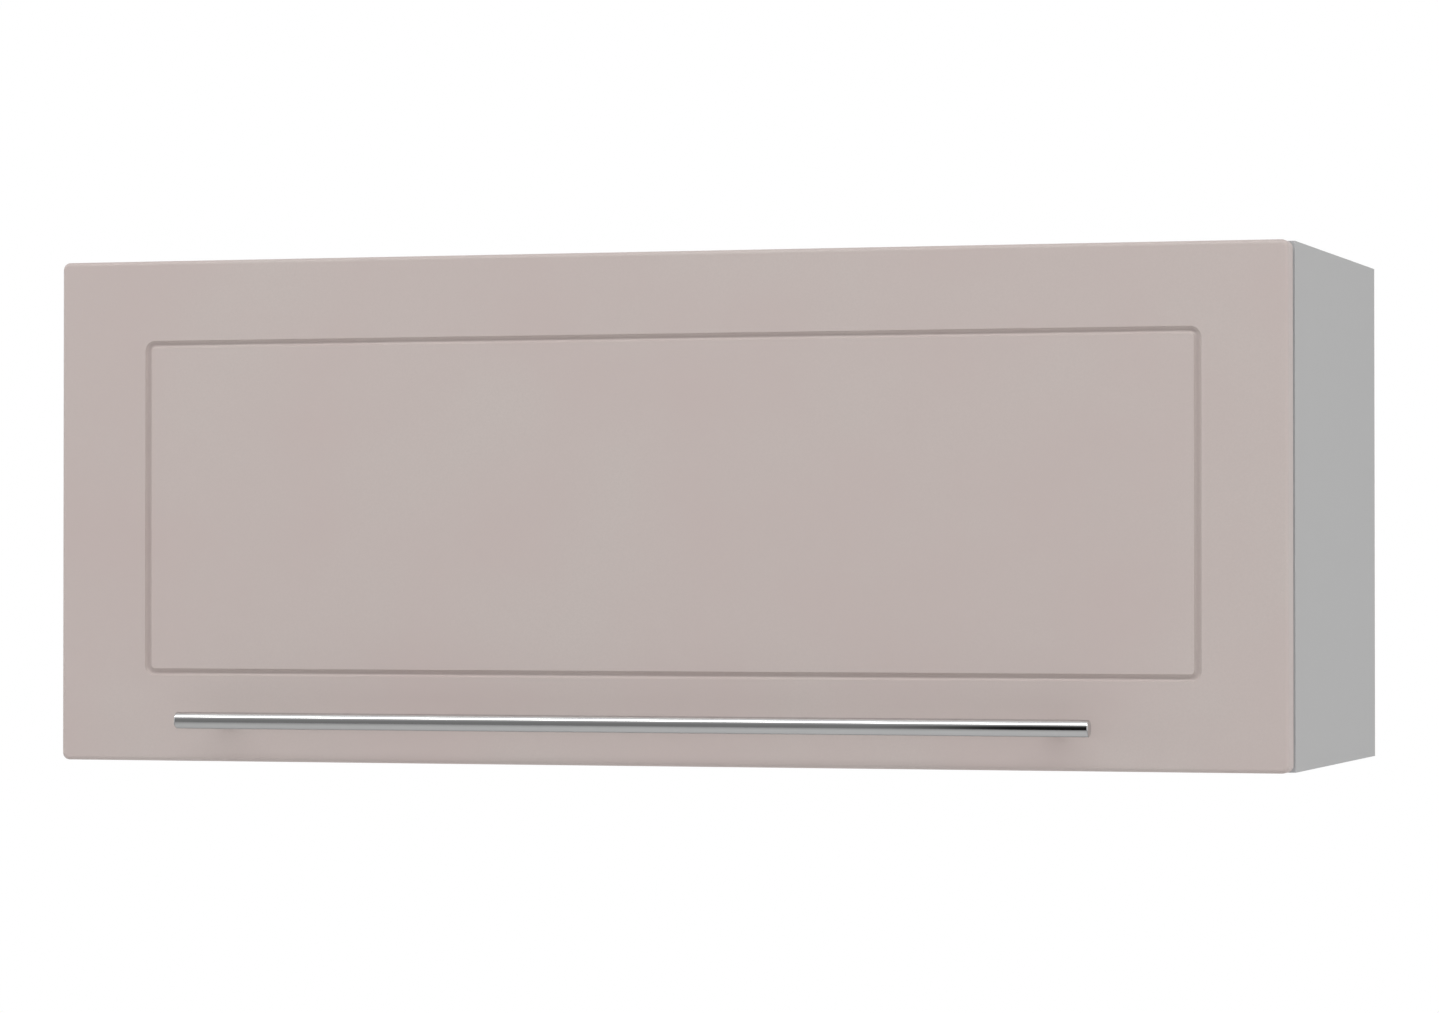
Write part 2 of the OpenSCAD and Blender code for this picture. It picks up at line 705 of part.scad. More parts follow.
module stay_housing() {
    color("whitesmoke") difference() {
        union() {
            side_view(stay_x, inner_x - 1) stay_outline(0);
            side_view(inner_x - 1.5, inner_x) stay_outline(0.6);
        }
        // pocket of the shaft
        bar_x(stay_x - 1, stay_x + 12, stay_axis, shaft_d / 2 + fixed_play);
        for (at = stay_screws) {
            bar_x(stay_x - 1, inner_x + 1, at, stay_screw_d / 2 + 0.2);
            bar_x(stay_x - 1, inner_x - stay_floor, at, stay_screw_d / 2 + 2.4);
        }
        // lightening pockets in the face under the cover
        for (k = [0 : 4]) side_view(stay_x - 1, stay_x + 3)
            translate([stay_front - stay_l + 34 + 15 * k, stay_top - stay_h + 14])
                round_rect(10, stay_h - 28, 3);
        translate([(stay_x + inner_x) / 2, -body_d - stay_front - 1, tension_z])
            rotate([-90, 0, 0]) cylinder(h = tension_l, r = tension_d / 2 + fixed_play);
    }
}

module stay_cover() {
    color("gainsboro") difference() {
        union() {
            side_view(cover_x + cover_t / 2, stay_x) stay_outline(0.4);
            side_view(cover_x, cover_x + cover_t) stay_outline(1.6);
        }
        bar_x(cover_x - 1, stay_x + 1, stay_axis, shaft_d / 2 + 1);
        // shallow panel line round the shaft
        side_view(cover_x - 1, cover_x + 0.5) difference() {
            translate(stay_axis) circle(14);
            translate(stay_axis) circle(13);
        }
    }
}

module stay_screw_set() {
    color("silver") pair() for (at = stay_screws) difference() {
        union() {
            bar_x(inner_x - stay_floor, inner_x + stay_screw_l, at, stay_screw_d / 2);
            bar_x(inner_x - stay_floor - head_h, inner_x - stay_floor, at, stay_screw_d / 2 + 2);
        }
        translate([inner_x - stay_floor - head_h * 0.45, -body_d - at[0], top_z + at[1]]) rotate([0, -90, 0])
            cross_slot(stay_screw_d * 0.6, head_h);
    }
}

module stay_tension_screws() {
    x = (stay_x + inner_x) / 2;
    color("silver") pair() difference() {
        translate([x, -body_d - stay_front - 1.5, tension_z]) rotate([-90, 0, 0])
            cylinder(h = tension_l, r = tension_d / 2);
        translate([x, -body_d - stay_front - 2.5, tension_z]) rotate([-90, 0, 0])
            cylinder(h = 4, r = tension_d / 4, $fn = 6);
    }
}

module stay_shafts() {
    color("silver") pair() {
        bar_x(lift_arm_x - 0.8, stay_x + 11.8, stay_axis, shaft_d / 2);
        bar_x(lift_arm_x - seat - 1.2, lift_arm_x - seat, stay_axis, shaft_d / 2 + 2.5);
        bar_x(lift_arm_x + lift_arm_t + seat, cover_x + cover_t / 2, stay_axis, shaft_d / 2 + 0.8);
    }
}

module lift_arm() {
    side_dir = (link_axis - stay_axis) / norm(link_axis - stay_axis);
    color("silver") side_view(lift_arm_x, lift_arm_x + lift_arm_t) difference() {
        lever(stay_axis, link_axis, arm_end_r, link_end_r);
        translate(stay_axis) circle(shaft_d / 2 + running_play);
        translate(link_axis) circle(link_pin_d / 2 + fixed_play);
        lever(stay_axis + side_dir * 26, link_axis - side_dir * 22, 3.6, 2.8);
    }
}

module arm_pin() {
    color("silver") {
        bar_x(link_x - seat, lift_arm_x + lift_arm_t, link_axis, link_pin_d / 2);
        bar_x(link_x - seat - 1.2, link_x - seat, link_axis, link_pin_d / 2 + 2);
    }
}

module link_lever() {
    color("silver") side_view(link_x, link_x + link_t) difference() {
        lever(link_axis, bracket_axis, link_end_r, link_end_r);
        translate(link_axis) circle(link_pin_d / 2 + running_play);
        translate(bracket_axis) circle(link_pin_d / 2 + running_play);
    }
}

module flap_bracket() {
    plate_u = flap_gap - bracket_plate_t;
    x1 = ear_x + bracket_w;
    z_mid = top_z + bracket_axis[1];
    color("silver") difference() {
        union() {
            translate([ear_x - 4, flap_back_y + bracket_plate_t, z_mid - bracket_h / 2]) rotate([90, 0, 0])
                linear_extrude(bracket_plate_t) round_rect(bracket_w, bracket_h, 5);
            side_view(ear_x, ear_x + ear_t) {
                translate(bracket_axis) circle(8);
                polygon([bracket_axis + [0, 8], bracket_axis - [0, 8], [plate_u, bracket_axis[1] - 17],
                         [plate_u, bracket_axis[1] + 17]]);
            }
        }
        bar_x(ear_x - 1, ear_x + ear_t + 1, bracket_axis, link_pin_d / 2 + fixed_play);
        for (at = bracket_screws)
            bar_y(at[0], top_z + at[1], flap_back_y - 1, flap_back_y + 3, bracket_screw_d / 2 + 0.3);
    }
}

module flap_bracket_pins() {
    color("silver") pair() {
        bar_x(ear_x - 0.8, link_x + link_t + seat, bracket_axis, link_pin_d / 2);
        bar_x(link_x + link_t + seat, link_x + link_t + seat + 1.1, bracket_axis, link_pin_d / 2 + 2);
        bar_x(ear_x - 1.6, ear_x, bracket_axis, link_pin_d / 2 + 1.5);
    }
}

module flap_bracket_screws() {
    color("silver") pair() for (at = bracket_screws)
        translate([at[0], flap_back_y + bracket_plate_t, top_z + at[1]]) rotate([-90, 0, 0])
            pan_screw(bracket_screw_d, head_h, bracket_screw_d / 2, bracket_plate_t + bracket_screw_l);
}

// ---- flap ----

// Section of what a rounding cutter takes off an edge that ends at the point tip
module edge_waste(tip, r) {
    difference() {
        translate(tip - [r, r]) square(r + 1);
        translate(tip - [r, r]) circle(r);
    }
}

// The flap's blank lying on its back, its lower left corner at the origin
module flap_blank(w, h) {
    r = corner_r;
    difference() {
        linear_extrude(flap_t) {
            for (x = [r, w - r], y = [r, h - r]) translate([x, y]) circle(r);
            translate([r, 0]) square([w - 2 * r, h]);
            translate([0, r]) square([w, h - 2 * r]);
        }
        // each run of the rounding cutter, then the quarter turns at the corners
        for (run = [[w - r, r, -90, w], [r, h - r, 90, w], [r, r, 180, h], [w - r, h - r, 0, h]])
            translate([run[0], run[1], 0]) rotate([90, 0, run[2]])
                linear_extrude(run[3] - 2 * r) edge_waste([r, flap_t], front_round);
        for (k = [[w - r, h - r, 0], [r, h - r, 90], [r, r, 180], [w - r, r, 270]])
            translate([k[0], k[1], 0]) rotate([0, 0, k[2]])
                rotate_extrude(angle = 90) edge_waste([r, flap_t], front_round);
    }
}

// The cutter's path: four straight runs and four quarter turns, on the blank's face
module frame_groove(w, h) {
    lift = flap_t + cutter_r - groove_depth;
    half = sqrt(pow(cutter_r, 2) - pow(cutter_r - groove_depth, 2));
    x0 = groove_left + half;
    x1 = w - groove_right - half;
    y0 = groove_bottom + half;
    y1 = h - groove_top - half;
    r = groove_corner;
    for (y = [y0, y1]) translate([x0 + r, y, lift]) rotate([0, 90, 0])
        cylinder(h = x1 - x0 - 2 * r, r = cutter_r);
    for (x = [x0, x1]) translate([x, y0 + r, lift]) rotate([-90, 0, 0])
        cylinder(h = y1 - y0 - 2 * r, r = cutter_r);
    for (k = [[x0 + r, y0 + r, 180], [x1 - r, y0 + r, 270], [x1 - r, y1 - r, 0], [x0 + r, y1 - r, 90]])
        translate([k[0], k[1], lift]) rotate([0, 0, k[2]])
            rotate_extrude(angle = 90) translate([r, 0]) circle(cutter_r);
}

module flap_panel() {
    w = 2 * flap_half_w;
    e = hinge_edge_round;
    cup_z = top_z - cup_mid;
    color("rosybrown") difference() {
        translate([-flap_half_w, flap_back_y, flap_bottom]) rotate([90, 0, 0]) difference() {
            flap_blank(w, flap_h);
            frame_groove(w, flap_h);
        }
        // round along the back of the hinge edge
        side_view(-half_w, half_w) difference() {
            translate([flap_gap - 1, -e]) square([e + 1, e + 1]);
            translate([flap_gap + e, -e]) circle(e);
        }
        pair() {
            bar_y(hinge_x, cup_z, flap_back_y - cup_depth - 0.1, flap_back_y + 1, cup_r + fixed_play);
            for (x = [-cup_screw_x, cup_screw_x])
                bar_y(hinge_x + x, cup_z - cup_screw_drop, flap_back_y - cup_screw_l - 0.5, flap_back_y + 1,
                      cup_screw_d / 2 + fixed_play);
            for (at = bracket_screws)
                bar_y(at[0], top_z + at[1], flap_back_y - bracket_screw_l - 0.5, flap_back_y + 1,
                      bracket_screw_d / 2 + fixed_play);
        }
        for (x = post_xs)
            bar_y(x, handle_z, flap_front_y - 1, flap_back_y + 1, handle_screw_d / 2 + 0.5);
    }
}

module handle_tube() {
    color("silver") difference() {
        translate([handle_x[0] + end_cap_l, handle_y, handle_z]) rotate([0, 90, 0])
            cylinder(h = handle_l - 2 * end_cap_l, r = handle_d / 2);
        translate([handle_x[0], handle_y, handle_z]) rotate([0, 90, 0])
            cylinder(h = handle_l, r = handle_d / 2 - handle_wall);
        // seats for the posts
        for (x = post_xs) bar_y(x, handle_z, handle_y, handle_y + handle_d, post_neck_r + fixed_play);
    }
}

module handle_end_caps() {
    inner = handle_d / 2 - handle_wall - fixed_play;
    color("silver") translate([handle_shift, 0, 0]) pair()
        translate([handle_l / 2 - end_cap_l, handle_y, handle_z]) rotate([0, 90, 0]) difference() {
            rotate_extrude() polygon([
                [0, -8], [inner - 0.6, -8], [inner, -7.2], [inner, 0], [handle_d / 2, 0],
                [handle_d / 2, end_cap_l], [0, end_cap_l]
            ]);
            rotate_extrude() edge_waste([handle_d / 2, end_cap_l], end_cap_round);
        }
}

module handle_posts() {
    color("silver") for (x = post_xs) difference() {
        union() {
            bar_y(x, handle_z, flap_front_y - handle_out + 1, flap_front_y, post_d / 2);
            bar_y(x, handle_z, handle_y + 0.5, flap_front_y - 2, post_neck_r);
        }
        // the bar's seat and the thread
        translate([x - 20, handle_y, handle_z]) rotate([0, 90, 0]) difference() {
            cylinder(h = 40, r = handle_d / 2 + fixed_play);
            cylinder(h = 40, r = handle_d / 2 - handle_wall - fixed_play);
            translate([0, 0, 20]) rotate([-90, 0, 0]) cylinder(h = 30, r = post_neck_r);
        }
        bar_y(x, handle_z, flap_front_y - handle_screw_in - 1, flap_front_y + 1,
              handle_screw_d / 2 + fixed_play);
    }
}

module handle_screws() {
    color("silver") for (x = post_xs) translate([x, flap_back_y, handle_z]) rotate([-90, 0, 0])
        pan_screw(handle_screw_d, head_h, handle_screw_d / 2, flap_t + handle_screw_in);
}

module bumper_pads() {
    color("white") pair() translate([(half_w + inner_x) / 2, flap_back_y, flap_bottom + bumper_up])
        rotate([-90, 0, 0]) cylinder(h = bumper_t, r1 = bumper_d / 2, r2 = bumper_d / 2 - 1);
}

// ---- the cabinet ----

mirror([1, 0, 0]) color("lightgray") side_panel();  // side_panel_left
color("lightgray") side_panel();  // side_panel_right
top_panel();
bottom_panel();
back_panel();
front_edge_bands();
dowels();
cam_housings();
cam_bolts();
cam_caps();
mirror([1, 0, 0]) hanger_housing();  // hanger_housing_left
hanger_housing();  // hanger_housing_right
mirror([1, 0, 0]) hanger_hook();  // hanger_hook_left
hanger_hook();  // hanger_hook_right
hanger_screws();
mirror([1, 0, 0]) hanger_cover();  // hanger_cover_left
hanger_cover();  // hanger_cover_right
mirror([1, 0, 0]) wall_plate();  // wall_plate_left
wall_plate();  // wall_plate_right
mirror([1, 0, 0]) hinge_plate();  // hinge_plate_left
hinge_plate();  // hinge_plate_right
hinge_plate_screws();
mirror([1, 0, 0]) hinge_arm();  // hinge_arm_left
hinge_arm();  // hinge_arm_right
hinge_arm_screws();
mirror([1, 0, 0]) stay_housing();  // stay_housing_left
stay_housing();  // stay_housing_right
mirror([1, 0, 0]) stay_cover();  // stay_cover_left
stay_cover();  // stay_cover_right
stay_screw_set();
stay_tension_screws();
stay_shafts();
flap_panel();
handle_tube();
handle_end_caps();
handle_posts();
handle_screws();
mirror([1, 0, 0]) hinge_cup();  // hinge_cup_left
hinge_cup();  // hinge_cup_right
hinge_pins();
hinge_cup_screws();
mirror([1, 0, 0]) flap_bracket();  // flap_bracket_left
flap_bracket();  // flap_bracket_right
flap_bracket_pins();
flap_bracket_screws();
bumper_pads();
mirror([1, 0, 0]) lift_arm();  // lift_arm_left
lift_arm();  // lift_arm_right
mirror([1, 0, 0]) arm_pin();  // arm_pin_left
arm_pin();  // arm_pin_right
mirror([1, 0, 0]) link_lever();  // link_lever_left
link_lever();  // link_lever_right
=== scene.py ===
"""Finishes, light and camera of the lift up wall cabinet.

The cabinet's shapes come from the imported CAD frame. This script dresses each of its pieces with
a procedural finish, builds the studio round it and sets the camera at the photograph's angle.
Metres; +X to the right, the front faces -Y, +Z up, the origin on the wall.
"""

import logging
import math
from dataclasses import dataclass, field
from enum import Enum

import bmesh
import bpy
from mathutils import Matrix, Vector

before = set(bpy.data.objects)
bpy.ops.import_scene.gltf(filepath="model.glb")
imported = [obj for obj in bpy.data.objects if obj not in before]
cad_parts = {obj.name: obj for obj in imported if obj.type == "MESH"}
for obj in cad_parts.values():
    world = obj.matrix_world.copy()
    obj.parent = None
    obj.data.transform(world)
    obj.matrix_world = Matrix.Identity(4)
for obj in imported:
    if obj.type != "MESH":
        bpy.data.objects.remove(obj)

log = logging.getLogger("cabinet")

MILLIMETRE = 0.001

# The curve that a screen's colours follow: a straight foot up to the knee, then a power.
CURVE_KNEE = 0.04045
CURVE_FOOT = 12.92
CURVE_SHIFT = 0.055
CURVE_POWER = 2.4

# The part of a noise's values that is spread over a range. Few of them lie outside it.
NOISE_MIDDLE = (0.3, 0.7)
# How far a finish's roughness swings round its own value, as a share of it.
ROUGHNESS_SWING = 0.1
# How many rays feel for an edge that a finish softens.
EDGE_SAMPLES = 4
# The numbers of the mix node's colour sockets, whose names other kinds of value share.
MIX_FACTOR, MIX_FIRST, MIX_SECOND, MIX_RESULT = 0, 6, 7, 2
# A camera looks straight down until it is turned up by this angle.
LEVEL_VIEW = 90.0

Colour = tuple[float, float, float]
Rgba = tuple[float, float, float, float]
Point = tuple[float, float, float]
Span = tuple[float, float]
Socket = bpy.types.NodeSocket

WHITE: Rgba = (1.0, 1.0, 1.0, 1.0)


class Run(Enum):
    """The direction in which a finish is drawn out: its grain, its brush marks or its rolling."""

    NONE = (1.0, 1.0, 1.0)
    ALONG_X = (0.05, 1.0, 1.0)
    ALONG_Z = (1.0, 1.0, 0.05)


class Part(Enum):
    """The parts that carry one finish each, most of them named as the record's material slots."""

    CARCASS_BOARD = "carcass_board"
    EDGE_BAND = "edge_band"
    BACK_BOARD = "back_board"
    BEECH = "beech"
    ZINC_CASTING = "zinc_casting"
    ZINC_PLATED_STEEL = "zinc_plated_steel"
    NICKEL_PLATED_STEEL = "nickel_plated_steel"
    WHITE_PLASTIC = "white_plastic"
    GREY_PLASTIC = "grey_plastic"
    FLAP_FINISH = "flap_finish"
    HANDLE_CHROME = "handle_chrome"
    CLEAR_RUBBER = "clear_rubber"


def linear(colour: Colour) -> Rgba:
    """Turns a colour as a screen shows it into the linear values that a shader takes.

    Args:
        colour: Red, green and blue from 0 to 1, as read off a picture.

    Returns:
        The linear red, green and blue, with an alpha of 1.
    """
    r, g, b = (
        c / CURVE_FOOT
        if c <= CURVE_KNEE
        else ((c + CURVE_SHIFT) / (1 + CURVE_SHIFT)) ** CURVE_POWER
        for c in colour
    )
    return (r, g, b, 1.0)


def toned(colour: Colour, tone: float | Colour) -> Rgba:
    """Darkens, lightens or tints a colour.

    Args:
        colour: The colour as a screen shows it.
        tone: What it is multiplied by: one factor, or one each for red, green and blue.

    Returns:
        The linear values of the new colour, none of them above full white.
    """
    tones = tone if isinstance(tone, tuple) else (tone, tone, tone)
    r, g, b = (min(1.0, c * t) for c, t in zip(colour, tones))
    return linear((r, g, b))


def scale_for(size_mm: float) -> float:
    """Gives the scale at which a texture's specks have this size."""
    return 1.0 / (size_mm * MILLIMETRE)


class NodeTree:
    """A node tree that is built one node at a time."""

    def __init__(self, tree: bpy.types.NodeTree, empty: bool = False) -> None:
        """Takes a tree in hand.

        Args:
            tree: The tree.
            empty: Whether to clear it first.
        """
        self.tree = tree
        if empty:
            tree.nodes.clear()

    def add(
        self, kind: str, inputs: dict[str | int, object] | None = None, **settings: object
    ) -> bpy.types.Node:
        """Adds a node.

        Args:
            kind: The node's type.
            inputs: Values or sockets for its inputs, by name or number.
            **settings: Properties to set on the node itself.

        Returns:
            The node.
        """
        node = self.tree.nodes.new(kind)
        for key, value in settings.items():
            setattr(node, key, value)
        for key, value in (inputs or {}).items():
            if isinstance(value, Socket):
                self.tree.links.new(value, node.inputs[key])
            else:
                node.inputs[key].default_value = value
        return node

    def calculate(self, operation: str, *values: float | Socket) -> Socket:
        """Works a value out from two others by one of the Math node's operations."""
        node = self.add("ShaderNodeMath", dict(enumerate(values)), operation=operation)
        return node.outputs["Value"]

    def ramp(
        self,
        value: Socket,
        span: Span,
        start: float | Socket = 0.0,
        end: float | Socket = 1.0,
        smooth: bool = True,
    ) -> Socket:
        """Adds a change between two values.

        Args:
            value: What the change follows.
            span: Where the change starts and ends.
            start: The value before it.
            end: The value after it.
            smooth: Whether it starts and ends gently.

        Returns:
            The socket with the result.
        """
        inputs = {
            "Value": value,
            "From Min": span[0],
            "From Max": span[1],
            "To Min": start,
            "To Max": end,
        }
        kind = "SMOOTHSTEP" if smooth else "LINEAR"
        return self.add("ShaderNodeMapRange", inputs, interpolation_type=kind).outputs["Result"]

    def pick(self, flag: Socket, off: float | Socket, on: float | Socket) -> Socket:
        """Gives one value where a flag is 0 and the other where it is 1."""
        return self.ramp(flag, (0.0, 1.0), off, on, smooth=False)

    def blend(self, factor: Socket, first: Rgba | Socket, second: Rgba | Socket) -> Socket:
        """Mixes two colours.

        Args:
            factor: How much of the second colour shows.
            first: The colour or socket at 0.
            second: The colour or socket at 1.

        Returns:
            The socket with the mixed colour.
        """
        inputs = {MIX_FACTOR: factor, MIX_FIRST: first, MIX_SECOND: second}
        return self.add("ShaderNodeMix", inputs, data_type="RGBA").outputs[MIX_RESULT]

    def grey(self, shade: Socket) -> Socket:
        """Turns a shade into a colour."""
        channels = dict.fromkeys(("Red", "Green", "Blue"), shade)
        return self.add("ShaderNodeCombineColor", channels).outputs["Color"]

    def mix_shaders(self, factor: Socket, first: Socket, second: Socket) -> Socket:
        """Mixes two shaders: the first where the factor is 0, the second where it is 1."""
        return self.add("ShaderNodeMixShader", {0: factor, 1: first, 2: second}).outputs["Shader"]


class StudioShading(NodeTree):
    """The material of a piece of the studio, built up from an empty tree."""

    def __init__(self, name: str) -> None:
        """Makes an empty material.

        Args:
            name: The material's name.
        """
        self.material = bpy.data.materials.new(name)
        self.material.use_nodes = True
        super().__init__(self.material.node_tree, empty=True)

    def show(self, surface: Socket) -> bpy.types.Material:
        """Ends the tree with the surface that the piece shows, and gives the material."""
        self.add("ShaderNodeOutputMaterial", {"Surface": surface})
        return self.material


class Shading(NodeTree):
    """The material of one finish, with the few moves that the finishes share."""

    def __init__(self, name: str) -> None:
        """Makes a material with a surface shader that is still plain.

        Args:
            name: The material's name.
        """
        self.material = bpy.data.materials.new(name)
        self.material.use_nodes = True
        super().__init__(self.material.node_tree)
        self.shader = self.tree.nodes["Principled BSDF"]
        self.place = self.add("ShaderNodeTexCoord").outputs["Object"]

    def feed(self, name: str, source: Socket) -> None:
        """Links a socket into an input of the surface shader."""
        self.tree.links.new(source, self.shader.inputs[name])

    def fed(self, name: str) -> Socket:
        """Gives the socket that feeds an input of the surface shader so far."""
        return self.shader.inputs[name].links[0].from_socket

    def fix(self, values: dict[str, float | Point]) -> None:
        """Sets inputs of the surface shader that are the same all over."""
        for name, value in values.items():
            self.shader.inputs[name].default_value = value

    def speckle(self, size_mm: float, run: Run = Run.NONE, detail: float = 2.0) -> Socket:
        """Adds a noise that lies in the piece itself.

        Args:
            size_mm: The size of one speck.
            run: The direction in which the specks are drawn out.
            detail: How many finer layers it holds.

        Returns:
            The socket with the noise's value, around 0.5.
        """
        stretched = self.add("ShaderNodeMapping", {"Vector": self.place, "Scale": run.value})
        inputs = {
            "Vector": stretched.outputs["Vector"],
            "Scale": scale_for(size_mm),
            "Detail": detail,
        }
        return self.add("ShaderNodeTexNoise", inputs).outputs["Fac"]

    def between(self, noise: Socket, low: float = 0.0, high: float = 1.0) -> Socket:
        """Spreads the middle part of a noise over a range of values.

        Args:
            noise: The noise.
            low: The value where the noise is below its middle part.
            high: The value where it is above it.

        Returns:
            The socket with the new value.
        """
        return self.ramp(noise, NOISE_MIDDLE, low, high, smooth=False)

    def relief(self, height: Socket, depth_mm: float, under: Socket | None = None) -> Socket:
        """Adds a bump.

        Args:
            height: The noise that gives the height.
            depth_mm: The depth from its lowest to its highest point.
            under: A normal that the bump lies on.

        Returns:
            The socket with the normal.
        """
        inputs = {"Height": height, "Distance": depth_mm * MILLIMETRE, "Strength": 1.0}
        if under is not None:
            inputs["Normal"] = under
        return self.add("ShaderNodeBump", inputs).outputs["Normal"]

    def soft_edges(self, radius_mm: float) -> Socket:
        """Adds a normal that breaks the sharp edges over this radius."""
        radius = {"Radius": radius_mm * MILLIMETRE}
        return self.add("ShaderNodeBevel", radius, samples=EDGE_SAMPLES).outputs["Normal"]


@dataclass(frozen=True)
class Finish:
    """What every finish has: its name, colour, gloss, and the fine texture of its surface.

    Attributes:
        name: The material's name.
        colour: Its colour as a screen shows it.
        roughness: Its roughness, around which the surface swings a little.
        spread: How far the specks are darker and lighter than the colour, as a share.
        speck_mm: The size of one speck.
        relief_mm: How deep the surface's texture is.
        run: The direction in which the specks are drawn out.
        edge_mm: The radius over which sharp edges turn, or 0 to leave them.
    """

    name: str
    colour: Colour
    roughness: float
    spread: float = 0.02
    speck_mm: float = 1.0
    relief_mm: float = 0.01
    run: Run = Run.NONE
    edge_mm: float = 0.0

    def start(self) -> Shading:
        """Builds the colour, gloss and bump that all finishes share.

        Returns:
            The shading, ready for a finish's own nodes.
        """
        shading = Shading(self.name)
        speck = shading.speckle(self.speck_mm, self.run)
        dark = toned(self.colour, 1 - self.spread)
        light = toned(self.colour, 1 + self.spread)
        shading.feed("Base Color", shading.blend(shading.between(speck), dark, light))
        low = self.roughness * (1 - ROUGHNESS_SWING)
        high = self.roughness * (1 + ROUGHNESS_SWING)
        shading.feed("Roughness", shading.between(speck, low, high))
        under = shading.soft_edges(self.edge_mm) if self.edge_mm else None
        shading.feed("Normal", shading.relief(speck, self.relief_mm, under))
        return shading

    def material(self) -> bpy.types.Material:
        """Builds the finish's material."""
        return self.start().material


@dataclass(frozen=True)
class MelamineFinish(Finish):
    """Melamine on chipboard, with the bare chips showing on the edges that meet the wall.

    Attributes:
        core: The colour of the bare board.
        core_tones: How dark and how light its chips are beside that colour.
        chip_mm: The size of one chip.
        rear_depth_mm: How far in front of the wall the bare board shows.
    """

    core: Colour = (0.80, 0.70, 0.56)
    core_tones: Span = (0.80, 1.10)
    chip_mm: float = 2.4
    rear_depth_mm: float = 0.2

    def material(self) -> bpy.types.Material:
        """Builds the board's material.

        Returns:
            The material, grey on its faces and raw where its rear edge meets the wall.
        """
        shading = self.start()
        face = shading.fed("Base Color")
        cells = {"Vector": shading.place, "Scale": scale_for(self.chip_mm)}
        chips = shading.add("ShaderNodeTexVoronoi", cells).outputs["Color"]
        tone = shading.add("ShaderNodeSeparateColor", {"Color": chips}).outputs["Red"]
        dark, light = (toned(self.core, core_tone) for core_tone in self.core_tones)
        core = shading.blend(tone, dark, light)
        depth = shading.add("ShaderNodeSeparateXYZ", {"Vector": shading.place}).outputs["Y"]
        bare = shading.calculate("GREATER_THAN", depth, -self.rear_depth_mm * MILLIMETRE)
        shading.feed("Base Color", shading.blend(bare, face, core))
        return shading.material


@dataclass(frozen=True)
class MattFilmFinish(Finish):
    """The flap's matt film on milled fibreboard, very slightly mottled and with a soft sheen.

    Attributes:
        specular: The strength of its gloss.
        sheen: The strength of its soft sheen.
        sheen_roughness: How wide that sheen spreads.
        cloud_mm: The size of the faint clouds in its colour.
        cloud_tint: What the colour is multiplied by where a cloud is pinkest.
        cloud_detail: How many finer layers the clouds hold.
        ripple_mm: The size of the film's ripples.
        ripple_depth_mm: How deep they are.
        ripple_detail: How many finer layers they hold.
    """

    specular: float = 0.35
    sheen: float = 0.04
    sheen_roughness: float = 0.6
    cloud_mm: float = 120.0
    cloud_tint: Colour = (0.997, 0.981, 0.984)
    cloud_detail: float = 3.0
    ripple_mm: float = 7.0
    ripple_depth_mm: float = 0.006
    ripple_detail: float = 1.0

    def material(self) -> bpy.types.Material:
        """Builds the flap's material.

        Returns:
            The material with its clouds and ripples.
        """
        shading = self.start()
        shading.fix(
            {
                "Specular IOR Level": self.specular,
                "Sheen Weight": self.sheen,
                "Sheen Roughness": self.sheen_roughness,
            }
        )
        cloud = shading.between(shading.speckle(self.cloud_mm, detail=self.cloud_detail))
        pinker = toned(self.colour, self.cloud_tint)
        shading.feed("Base Color", shading.blend(cloud, pinker, shading.fed("Base Color")))
        ripple = shading.speckle(self.ripple_mm, detail=self.ripple_detail)
        rippled = shading.relief(ripple, self.ripple_depth_mm, shading.fed("Normal"))
        shading.feed("Normal", rippled)
        return shading.material


@dataclass(frozen=True)
class BeechFinish(Finish):
    """Plain beech with short flecks along the dowel.

    Attributes:
        fleck_size: The size of a fleck, as a share of a speck's.
        fleck_detail: How many finer layers the flecks hold.
        fleck_sharpness: The power that leaves only their strongest parts.
        fleck_tone: How dark a fleck is beside the wood.
    """

    fleck_size: float = 0.6
    fleck_detail: float = 1.0
    fleck_sharpness: float = 4.0
    fleck_tone: float = 0.7

    def material(self) -> bpy.types.Material:
        """Builds the dowels' material.

        Returns:
            The material with its grain and flecks.
        """
        shading = self.start()
        noise = shading.speckle(self.speck_mm * self.fleck_size, self.run, self.fleck_detail)
        fleck = shading.calculate("POWER", shading.between(noise), self.fleck_sharpness)
        brown = toned(self.colour, self.fleck_tone)
        shading.feed("Base Color", shading.blend(fleck, shading.fed("Base Color"), brown))
        return shading.material


@dataclass(frozen=True)
class MetalFinish(Finish):
    """A metal: plated, cast or polished, with its own texture and a little tarnish.

    Attributes:
        tarnish: How much darker the tarnish is than the metal, as a share.
        tarnish_mm: The size of its clouds.
        tarnish_detail: How many finer layers they hold.
    """

    tarnish: float = 0.06
    tarnish_mm: float = 14.0
    tarnish_detail: float = 4.0

    def material(self) -> bpy.types.Material:
        """Builds the metal.

        Returns:
            The material with its brush marks and faint clouds of tarnish.
        """
        shading = self.start()
        shading.fix({"Metallic": 1.0})
        cloud = shading.between(shading.speckle(self.tarnish_mm, detail=self.tarnish_detail))
        dull = toned(self.colour, 1 - self.tarnish)
        shading.feed("Base Color", shading.blend(cloud, shading.fed("Base Color"), dull))
        return shading.material


